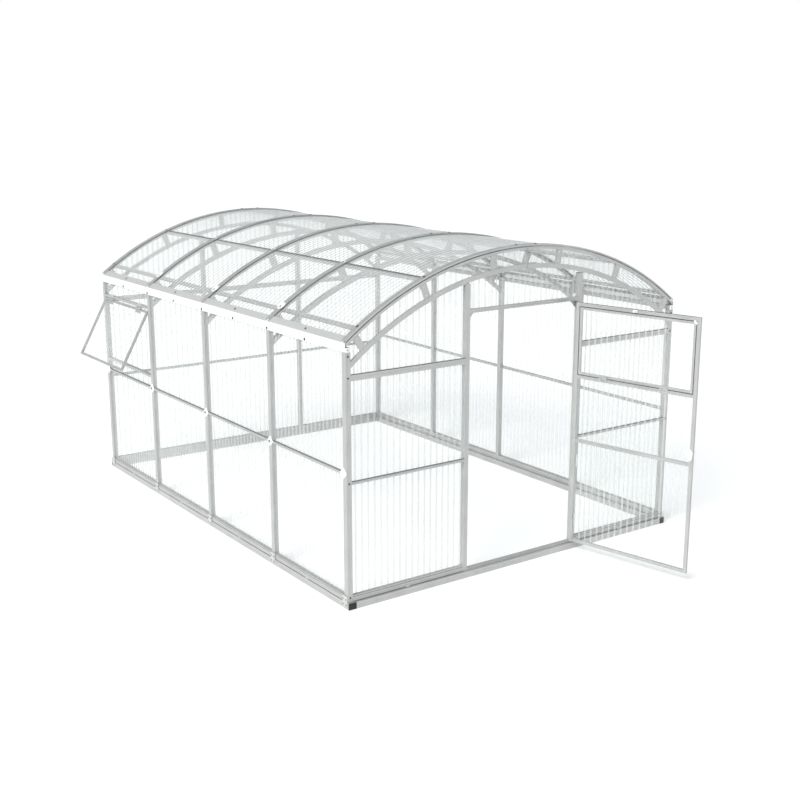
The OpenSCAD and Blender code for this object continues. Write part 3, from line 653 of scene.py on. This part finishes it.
# Pressure discs on the inner caps where purlins cross: large ones low down, small ones above
DISCS = [(LOWER, 0.034, 0.1, 0.0018, 0.0012), (UPPER, 0.017, 0.08, 0.0014, 0.0008)]
bm = bmesh.new()
for lo, hi in CAPS[1:-1]:
    for places, r, hollow, t, edge in DISCS:
        for a in places:
            to = frame_at(on_roof(a, ROOF_R, (lo.y + hi.y) / 2), radial(a), (0, 1, 0))
            plate(bm, lobed(r, hollow), to, t, edge)
piece("roof_discs", bm, [WHITE], "frame", 35)

# Dark sealing strip on the sheets over each upper purlin, from cap to cap
bm = bmesh.new()
for a in UPPER:
    for (_, before), (after, _) in zip(CAPS, CAPS[1:]):
        arc_strip(bm, ROOF_ZC, (SHEET_R + ON_SHEET, SHEET_R + ON_SHEET + 0.002),
                  (a - 0.005 / ROOF_R, a + 0.005 / ROOF_R),
                  (before.y + 0.003, after.y - 0.003), 2)
piece("purlin_seal_lines", bm, [LIP], "frame", 0)

# Dark screws through the flap of each eave trim, over every arch and half way between
bm = bmesh.new()
frames_y = [(lo.y + hi.y) / 2 for lo, hi in CAPS]
frames_y += [(p + q) / 2 for p, q in zip(frames_y, frames_y[1:])]
for node in ("eave_trim_left", "eave_trim_right"):
    flap = [f for f in NODES[node].data.polygons if f.normal.z > 0.3 and f.center.z > FLAP_FOOT]
    c = sum((f.center * f.area for f in flap), Vector()) / sum(f.area for f in flap)
    out = flap[0].normal.copy()
    for y in frames_y:
        screw(bm, (c.x, y, c.z), out, HEAD_R, 0.0034, 0, (0, 1, 0))
piece("eave_flap_screws", bm, [SCREW], "frame", 40)

# Rubber lips along both edges of every cap, on the sheets
LIP_W = LIP_T = 0.003
bm = bmesh.new()
for k, (lo, hi) in enumerate(CAPS):
    edges = [(lo.y - LIP_W, lo.y)] if k else []
    edges += [(hi.y, hi.y + LIP_W)] if k < len(CAPS) - 1 else []
    for ys in edges:
        arc_strip(bm, ROOF_ZC, (SHEET_R + ON_SHEET, SHEET_R + ON_SHEET + LIP_T),
                  (-ROOF_HALF, ROOF_HALF), ys, ROOF_STEPS)
piece("cap_gaskets", bm, [LIP], "frame")

# Bolts through the strut plates into both chords, on the outer side only of the end arches
bm = bmesh.new()
front, back = (box.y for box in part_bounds("arch_struts"))
for part in loose_parts("arch_struts"):
    lo, hi = part_box(part)
    a = roof_angle((lo + hi) / 2)
    u = radial(a)
    radii = [(p - Vector((0, 0, ROOF_ZC))).dot(u) for tri in part for p in tri]
    faces = [(lo.y, -1)] if hi.y < back - 0.001 else []
    faces += [(hi.y, 1)] if lo.y > front + 0.001 else []
    for y, side in faces:
        for r in (min(radii) + 0.015, max(radii) - 0.017):
            screw(bm, on_roof(a, r, y), (0, side, 0), 0.006, 0.0035, 0, u)
piece("strut_bolts", bm, [DOOR_METAL], "frame", 40)

# Foot brackets: a tongue behind the post's face, a ribbed plate in front and four screws
FOOT_SCREWS_Z = (0.066, 0.028)  # on the post and on the base rail
bm = bmesh.new()
base_top = ROW_HI.z
for part in loose_parts("foot_brackets"):
    lo, hi = part_box(part)
    side = math.copysign(1, lo.x)
    face = side * ROW_HI.x
    y, w, h = (lo.y + hi.y) / 2, hi.y - lo.y, hi.z - lo.z
    ends = sorted((face - side * 0.004, face))
    slab(bm, (ends[0], lo.y + 0.001, base_top + 0.0002), (ends[1], hi.y - 0.001, hi.z - 0.002))
    to = frame_at((face, y, (lo.z + hi.z) / 2), (side, 0, 0))
    plate(bm, round_rect(w, h, 0.007), to, 0.0035, 0.0015, 0, 0.0005)
    rib = to @ Matrix.Translation((0, 0.004, 0.0030))
    plate(bm, round_rect(0.012, 0.046, 0.0055), rib, 0.0022, 0.0015)
    for dy in (-0.018, 0.018):
        for z in FOOT_SCREWS_Z:
            screw(bm, (face + side * 0.0034, y + dy, z), (side, 0, 0), 0.005, 0.0026, 1)
ob = piece("post_feet", bm, [GREY, SCREW], "frame", 35)
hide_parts("foot_brackets")

bm = bmesh.new()
for part in loose_parts("sheet_clips"):
    lo, hi = part_box(part)
    d, c = hi - lo, (lo + hi) / 2
    thin = 0 if d.x < d.y else 1
    out = outward(c, thin)
    to = frame_at(c - out * d[thin] / 2, out)
    outline = round_rect(max(d.x, d.y), d.z, 0.003, 4)
    plate(bm, outline, to, d[thin], min(0.0025, d[thin] * 0.5))
ob = piece("sill_clips", bm, [GREY], "frame", 35)
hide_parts("sheet_clips")

# End caps on the eave beams
bm = bmesh.new()
for part in loose_parts("eave_beams"):
    lo, hi = part_box(part)
    for y, side in ((lo.y, -1), (hi.y, 1)):
        to = frame_at(((lo.x + hi.x) / 2, y, (lo.z + hi.z) / 2), (0, side, 0))
        plate(bm, round_rect(hi.x - lo.x, hi.z - lo.z, 0.004, 4), to, 0.0025, 0.0012)
        screw(bm, to @ Vector((0, 0, 0.0024)), (0, side, 0), 0.004, 0.002, 1)
piece("eave_end_caps", bm, [WHITE, SCREW], "frame", 35)


def strip_along(bm, lo, hi, axis, zs, deep, proud, mat=0):
    """A strip along a bar's outer face, across `axis`: deep behind the face, proud before it."""
    side = outward((lo + hi) / 2, axis)[axis]
    face = hi[axis] if side > 0 else lo[axis]
    a, b = [lo.x, lo.y, zs[0]], [hi.x, hi.y, zs[1]]
    a[axis], b[axis] = sorted((face - side * deep, face + side * proud))
    slab(bm, a, b, mat)


# Dark line along the top of the wall rails: painted shade on the rails' top faces
bm = bmesh.new()
for node in ("side_mid_rails", "gable_rails"):
    for part in loose_parts(node):
        lo, hi = part_box(part)
        across = 0 if hi.x - lo.x < hi.y - lo.y else 1
        strip_along(bm, lo, hi, across, (hi.z - 0.0035, hi.z + 0.0004), 0.008, 0.0005)
piece("rail_top_painted_shade", bm, [LIP], "frame", 0)

# Glazing strip along the top of each sill with a dark gasket line under it, partly painted shade of its slot, and
# a dark line at the sill's foot that is painted shadow in the gap over the base rail
bm = bmesh.new()
for node, across in (("side_sills", 0), ("gable_sills", 1)):
    for part in loose_parts(node):
        lo, hi = part_box(part)
        strip_along(bm, lo, hi, across, (hi.z - 0.004, hi.z + 0.003), 0.009, 0.0012)
        # Dark gasket line under the glazing strip, darkened as painted shade of the slot it sits in
        strip_along(bm, lo, hi, across, (hi.z - 0.0075, hi.z - 0.004), 0.001, 0.0005, 1)
        # Painted shadow: a dark strip in the gap between the sill and the base rail
        strip_along(bm, lo, hi, across, (lo.z + 0.0005, lo.z + 0.003), 0.001, 0.0006, 1)
piece("sill_glazing_strips_and_shade_lines", bm, [ALU[1], RUBBER], "frame", 0)


def with_painted_shade(name, node, mats, pick):
    """A CAD node's own shape, with a second, darker material as painted shade on the faces that pick chooses."""
    bm = bmesh.new()
    bm.from_mesh(NODES[node].data)
    bmesh.ops.remove_doubles(bm, verts=bm.verts, dist=1e-5)
    bm.normal_update()
    for f in bm.faces:
        f.material_index = 1 if pick(f) else 0
    ob = piece(name, bm, mats, BODY_OF[node])
    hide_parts(node)


def on_flap(face):
    return abs(face.normal.z) > 0.3 and face.calc_center_median().z > FLAP_FOOT


# The upward sloping flap of each eave trim takes the grey copy of the white coat: painted shade on the trim's top
# face.
for side in ("left", "right"):
    with_painted_shade(f"eave_fascia_{side}", f"eave_trim_{side}", [TRIM, SHADED_FLAP_COAT], on_flap)

# ---------------------------------------------------------------- door and window fittings

# These are made on the shut door, where its inner face looks along +Y, and settled to rest.


def settle(bm, turn):
    """Takes a piece made on the shut door or vent to where it is at rest."""
    bm.transform(turn.inverted())
    bmesh.ops.recalc_face_normals(bm, faces=bm.faces)


def shut_box(node, turn):
    boxes = [part_box(p) for p in loose_parts(node, turn)]
    return (Vector([min(b[0][k] for b in boxes) for k in range(3)]),
            Vector([max(b[1][k] for b in boxes) for k in range(3)]))


def pivot(joint, turn):
    return turn @ Vector(JOINTS[joint]["pos_m"])


INWARD, OUTWARD = (0, 1, 0), (0, -1, 0)
door_lo, door_hi = shut_box("door_stiles", DOOR_SHUT)
door_lo.z, door_hi.z = (corner.z for corner in shut_box("door_rails", DOOR_SHUT))
inner_face, outer_face = door_hi.y, door_lo.y

# Latch: inner lever with its hub and centre pin, spindle and outer knob
LEVER = 0.041  # from the spindle to the lever's screw
p = pivot("latch_turn", DOOR_SHUT)
inner_y, outer_y = inner_face + 0.0036, outer_face - 0.0003
spindle = inner_y - outer_y
bm = bmesh.new()
to = frame_at((p.x, inner_y, p.z), INWARD)
plate(bm, pear(0.0145, 0.010, LEVER), to, 0.010, 0.0036, 0, 0.0006)
turned(bm, [(0, 0.008), (0.009, 0.008), (0.009, 0.0145), (0.0078, 0.0163), (0.005, 0.017),
            (0, 0.017)], to)
turned(bm, [(0, 0.0165), (0.0032, 0.0165), (0.0032, 0.0178), (0.0022, 0.0184), (0, 0.0184)],
       to, 16, 1)
screw(bm, to @ Vector((0, -LEVER, 0.0088)), INWARD, 0.0035, 0.0018, 1)
turned(bm, [(0, 0), (0.004, 0), (0.004, spindle), (0, spindle)],
       frame_at((p.x, outer_y, p.z), INWARD), 16, 1)
turned(bm, [(0, 0), (0.0085, 0), (0.0085, 0.003), (0.0105, 0.006), (0.012, 0.009),
            (0.0112, 0.0122), (0.008, 0.0138), (0, 0.014)],
       frame_at((p.x, outer_y, p.z), OUTWARD), 28)
settle(bm, DOOR_SHUT)
ob = piece("latch_lever", bm, [WHITE, DOOR_METAL], "door_latch", 35)
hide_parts("door_latch")

# White rose under the latch lever, flush with the free edge of the door
bm = bmesh.new()
to = frame_at((door_lo.x + 0.030, inner_face, p.z - 0.006), INWARD)
plate(bm, lobed(0.0298, 0.03), to, 0.0035, 0.0024)
for x in (-0.017, 0.001):
    screw(bm, to @ Vector((x, 0.017, 0.0032)), INWARD, 0.0034, 0.0014, 1)
settle(bm, DOOR_SHUT)
piece("latch_rose", bm, [WHITE, DOOR_METAL], "door", 35)

# Turn button over the top rail of the window, with a hub, a screw and a grip rib
p = pivot("button_turn", DOOR_SHUT)
lo, hi = shut_box("window_button", DOOR_SHUT)
arm = math.copysign(1, (lo.x + hi.x) / 2 - p.x)
bm = bmesh.new()
to = frame_at((p.x, lo.y, p.z), INWARD, (-arm, 0, 0))
plate(bm, pear(0.009, 0.009, 0.018), to, 0.007, 0.003, 0, 0.0006)
turned(bm, [(0, 0.006), (0.0058, 0.006), (0.0058, 0.0088), (0.0045, 0.01), (0, 0.01)], to)
screw(bm, to @ Vector((0, 0, 0.0098)), INWARD, 0.0034, 0.0016, 1)
grip = to @ Matrix.Translation((0, -0.017, 0.007))
plate(bm, round_rect(0.003, 0.012, 0.0014, 3), grip, 0.0016, 0.001)
settle(bm, DOOR_SHUT)
ob = piece("turn_button", bm, [WHITE, SCREW], "window_button", 35)
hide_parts("window_button")

# Rubber seal round the tilting window; the hinge knuckles reach below its side members' feet
sash = [part_box(part) for part in loose_parts("window_frame", DOOR_SHUT)]
x0, x1 = min(lo.x for lo, hi in sash), max(hi.x for lo, hi in sash)
z0 = min(lo.z for lo, hi in sash if hi.z - lo.z > hi.x - lo.x)
z1 = max(hi.z for lo, hi in sash)
ya, yb, w = outer_face + 0.0065, inner_face - 0.0035, 0.0042
bm = bmesh.new()
for a, b in (((x0 - w, ya, z0 - w), (x0, yb, z1 + w)), ((x1, ya, z0 - w), (x1 + w, yb, z1 + w)),
             ((x0, ya, z1), (x1, yb, z1 + w)), ((x0, ya, z0 - w), (x1, yb, z0))):
    slab(bm, a, b)
settle(bm, DOOR_SHUT)
piece("window_seal", bm, [RUBBER], "door_window", 0)

# Its corner keys, and a white mark across the upper corner on the lock side
KEY_IN = 0.0095  # from the sash's corner to the middle of a key
bm = bmesh.new()
for sx, x in ((1, x0), (-1, x1)):
    for sz, z in ((1, z0), (-1, z1)):
        to = frame_at((x + sx * KEY_IN, inner_face, z + sz * KEY_IN), INWARD)
        plate(bm, round_rect(0.013, 0.013, 0.003, 4), to, 0.0012, 0.0006)
        screw(bm, to @ Vector((0, 0, 0.001)), INWARD, 0.0028, 0.0012, 1)
to = frame_at((x0 + 0.004, inner_face + 0.0003, z1 - 0.004), INWARD, (1, 0, 1))
plate(bm, round_rect(0.015, 0.030, 0.006, 5), to, 0.004, 0.002, 2)
settle(bm, DOOR_SHUT)
piece("window_corner_keys", bm, [DOOR_METAL, SCREW, WHITE], "door_window", 35)

# Rubber seals on the hinge edge and the top of the door leaf; the dark strip on the hinge edge stands in for the
# shadow of the hinge gap, as painted shade
ya, yb, w = outer_face + 0.007, inner_face - 0.006, 0.0018
bm = bmesh.new()
# Painted shadow: the dark strip along the hinge edge of the leaf
slab(bm, (door_hi.x, ya, door_lo.z + 0.01), (door_hi.x + w, yb, door_hi.z - 0.01))
slab(bm, (door_lo.x, ya, door_hi.z), (door_hi.x, yb, door_hi.z + w))
settle(bm, DOOR_SHUT)
piece("door_seals_and_hinge_shade", bm, [RUBBER], "door", 0)

# ---------------------------------------------------------------- stage

FLOOR_HALF = 60
FLOOR_GLOW = 0.12
SOFT_SKY, SOFT_SKY_STRENGTH = (0.93, 0.96, 1.0, 1), 0.52
SUN_STRENGTH, SUN_ANGLE, SUN_LOOK = 3.2, 34, (0.75, 0.25, -0.6)
FILL_WATTS, FILL_SIZE = 120, 6
FILL_AT, FILL_TARGET = Vector((4, -11, 7)), Vector((0, 2, 0.8))

s = Shade("studio_floor")
cloud = s.noise(0.6, detail=3, rough=0.5)
s.colour(cloud, (0.90, 0.905, 0.91), (0.93, 0.935, 0.935))
s.roughness(cloud, 0.55, 0.7)
s.set(Emission_Color=(0.97, 0.985, 1.0, 1), Emission_Strength=FLOOR_GLOW)
bm = bmesh.new()
bmesh.ops.create_grid(bm, x_segments=8, y_segments=8, size=FLOOR_HALF)
me = bpy.data.meshes.new("floor")
bm.to_mesh(me)
bm.free()
me.materials.append(s.mat)
floor = into_scene("floor", me)
floor.location = (0, 2, -0.0005)

# The camera sees a white background; everything else is lit by a soft, faintly blue one
world = bpy.data.worlds.new("studio")
bpy.context.scene.world = world
world.use_nodes = True
tree = world.node_tree
tree.nodes.clear()
mix = tree.nodes.new("ShaderNodeMixShader")
path = tree.nodes.new("ShaderNodeLightPath")
tree.links.new(path.outputs["Is Camera Ray"], mix.inputs[0])
for k, (colour, strength) in enumerate(((SOFT_SKY, SOFT_SKY_STRENGTH), ((1, 1, 1, 1), 1.0)), 1):
    background = tree.nodes.new("ShaderNodeBackground")
    background.inputs["Color"].default_value = colour
    background.inputs["Strength"].default_value = strength
    tree.links.new(background.outputs[0], mix.inputs[k])
tree.links.new(mix.outputs[0], tree.nodes.new("ShaderNodeOutputWorld").inputs["Surface"])

sun = bpy.data.lights.new("key", "SUN")
sun.energy = SUN_STRENGTH
sun.angle = math.radians(SUN_ANGLE)
sun.color = (1, 0.99, 0.97)
aim(into_scene("key", sun), SUN_LOOK)

disk = bpy.data.lights.new("fill", "AREA")
disk.shape = "DISK"
disk.size = FILL_SIZE
disk.energy = FILL_WATTS
fill = into_scene("fill", disk)
fill.location = FILL_AT
aim(fill, FILL_TARGET - FILL_AT)

bpy.context.scene.view_settings.view_transform = "Standard"
bpy.context.scene.cycles.transparent_max_bounces = 48  # sheets and webs lie many deep

# ---------------------------------------------------------------- finish of the CAD's own nodes

EDGE_ROUND = 0.0008
BY_SLOT = {"white_trim": TRIM, "door_fittings": DOOR_METAL, "white_plastic": WHITE,
           "black_plastic": BLACK, "dark_screws": SCREW, "clear_sheet": SKIN}
for name, ob in NODES.items():
    if ob.hide_render:
        continue
    lo, hi = part_box(loose_parts(name)[0])
    d = list(hi - lo)
    ob.data.materials.clear()
    ob.data.materials.append(BY_SLOT.get(SLOT_OF[name]) or ALU[d.index(max(d))])
    weld = ob.modifiers.new("weld", "WELD")
    weld.merge_threshold = 1e-5
    soft = ob.modifiers.new("round", "BEVEL")
    soft.width = EDGE_ROUND
    soft.segments = 2
    soft.limit_method = "ANGLE"
    soft.angle_limit = math.radians(40)
